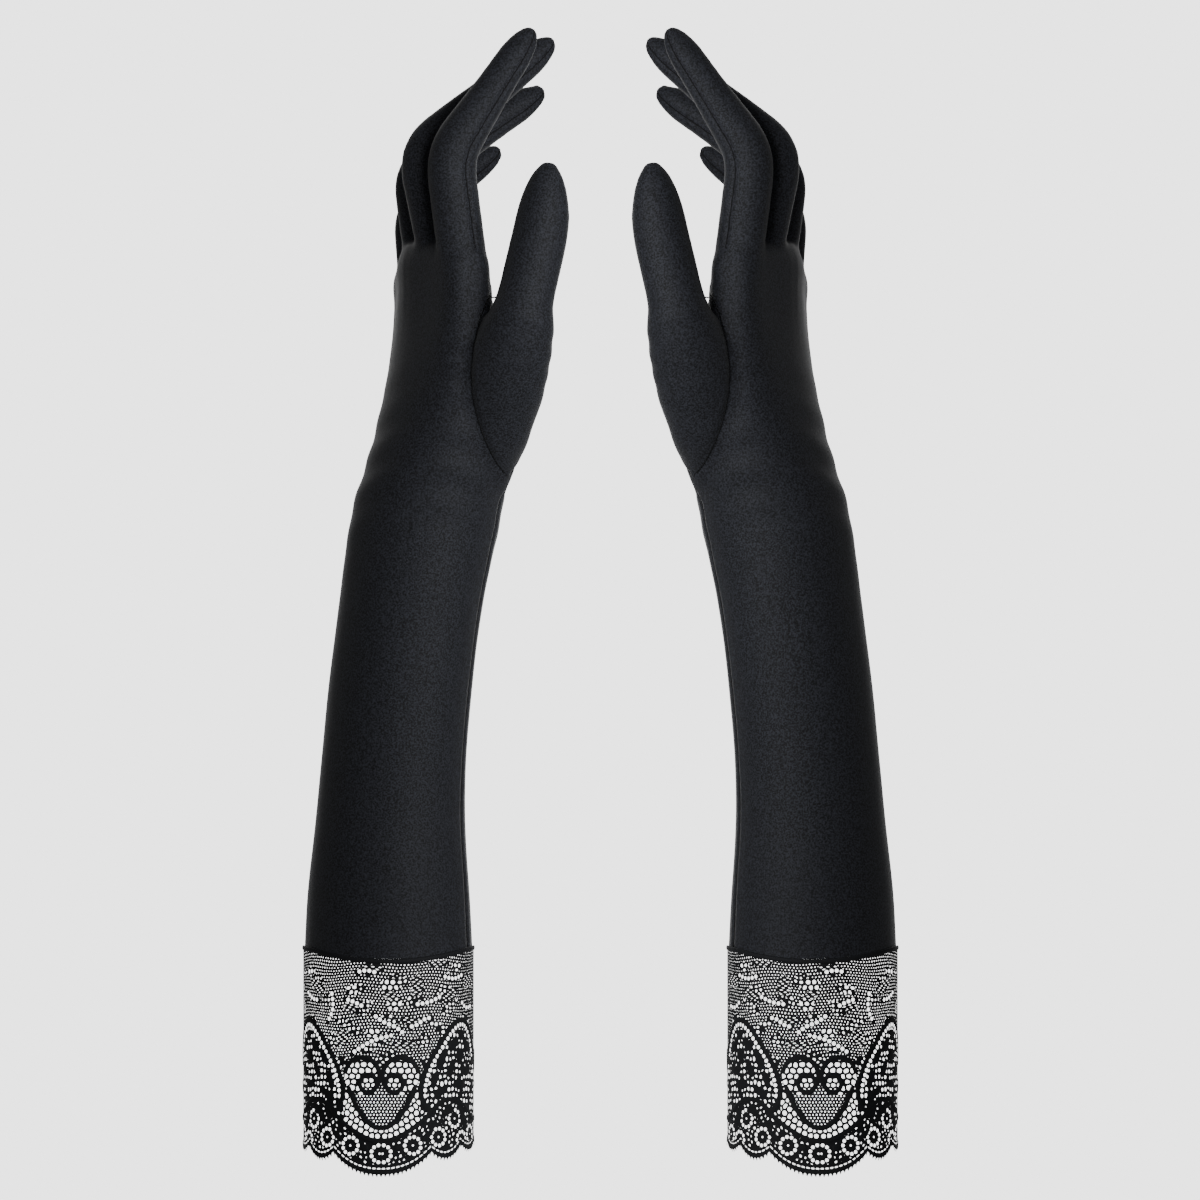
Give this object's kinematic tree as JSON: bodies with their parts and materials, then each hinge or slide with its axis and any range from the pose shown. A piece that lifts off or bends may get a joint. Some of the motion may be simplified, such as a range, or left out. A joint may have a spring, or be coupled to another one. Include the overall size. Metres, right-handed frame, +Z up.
{
  "type": "opera gloves",
  "caption": "Mirrored pair of long stretch-satin gloves reaching up the forearm, with fingers slightly curled and scalloped floral lace cuffs at the open ends.",
  "frame": {"origin": "midway between the two cuffs, level with the lowest scallops of the lace", "axes": "+Z up the gloves towards the fingertips, -Y the radial (thumb) side of both gloves, +X from the left-hand glove to the right-hand glove; the two palms face each other across the X=0 plane"},
  "size_m": [0.2388, 0.0964, 0.46],
  "materials": {
    "back_satin": "matte stretch satin, very fine grain",
    "palm_satin": "matte stretch satin, very fine grain",
    "lace": "floral stretch lace with a picot edge",
    "seam_band": "overlocked seam"
  },
  "bodies": {
    "left_sleeve": {"left_sleeve_back": "back_satin", "left_sleeve_palm": "palm_satin", "left_thumb_gusset": "palm_satin", "left_cuff_seam": "seam_band", "left_lace_cuff": "lace"},
    "left_thumb": {"left_thumb_stall": "back_satin"},
    "left_index": {"left_index_back": "back_satin", "left_index_palm": "palm_satin"},
    "left_middle": {"left_middle_back": "back_satin", "left_middle_palm": "palm_satin"},
    "left_ring": {"left_ring_back": "back_satin", "left_ring_palm": "palm_satin"},
    "left_little": {"left_little_back": "back_satin", "left_little_palm": "palm_satin"},
    "right_sleeve": {"right_sleeve_back": "back_satin", "right_sleeve_palm": "palm_satin", "right_thumb_gusset": "palm_satin", "right_cuff_seam": "seam_band", "right_lace_cuff": "lace"},
    "right_thumb": {"right_thumb_stall": "back_satin"},
    "right_index": {"right_index_back": "back_satin", "right_index_palm": "palm_satin"},
    "right_middle": {"right_middle_back": "back_satin", "right_middle_palm": "palm_satin"},
    "right_ring": {"right_ring_back": "back_satin", "right_ring_palm": "palm_satin"},
    "right_little": {"right_little_back": "back_satin", "right_little_palm": "palm_satin"}
  },
  "joints": [
    {"name": "left_thumb_flex", "type": "hinge", "parent": "left_sleeve", "child": "left_thumb", "pos_m": [-0.0303, -0.04142, 0.35], "axis": [-0.309, 0.9511, 0], "range_deg": [-20, 10]},
    {"name": "left_index_flex", "type": "hinge", "parent": "left_sleeve", "child": "left_index", "pos_m": [-0.05495, -0.02736, 0.366], "axis": [-0.309, 0.9511, 0], "range_deg": [-25, 14]},
    {"name": "left_middle_flex", "type": "hinge", "parent": "left_sleeve", "child": "left_middle", "pos_m": [-0.06353, -0.01016, 0.368], "axis": [-0.309, 0.9511, 0], "range_deg": [-28, 8]},
    {"name": "left_ring_flex", "type": "hinge", "parent": "left_sleeve", "child": "left_ring", "pos_m": [-0.06941, 0.00791, 0.366], "axis": [-0.309, 0.9511, 0], "range_deg": [-28, 14]},
    {"name": "left_little_flex", "type": "hinge", "parent": "left_sleeve", "child": "left_little", "pos_m": [-0.07257, 0.02686, 0.36], "axis": [-0.309, 0.9511, 0], "range_deg": [-28, 35]},
    {"name": "right_thumb_flex", "type": "hinge", "parent": "right_sleeve", "child": "right_thumb", "pos_m": [0.0303, -0.04142, 0.35], "axis": [-0.309, -0.9511, 0], "range_deg": [-20, 10]},
    {"name": "right_index_flex", "type": "hinge", "parent": "right_sleeve", "child": "right_index", "pos_m": [0.05495, -0.02736, 0.366], "axis": [-0.309, -0.9511, 0], "range_deg": [-25, 14]},
    {"name": "right_middle_flex", "type": "hinge", "parent": "right_sleeve", "child": "right_middle", "pos_m": [0.06353, -0.01016, 0.368], "axis": [-0.309, -0.9511, 0], "range_deg": [-28, 8]},
    {"name": "right_ring_flex", "type": "hinge", "parent": "right_sleeve", "child": "right_ring", "pos_m": [0.06941, 0.00791, 0.366], "axis": [-0.309, -0.9511, 0], "range_deg": [-28, 14]},
    {"name": "right_little_flex", "type": "hinge", "parent": "right_sleeve", "child": "right_little", "pos_m": [0.07257, 0.02686, 0.36], "axis": [-0.309, -0.9511, 0], "range_deg": [-28, 35]},
    {"name": "pair_spread", "type": "slide", "parent": "left_sleeve", "child": "right_sleeve", "axis": [1, 0, 0], "range_m": [0, 0.2]}
  ]
}
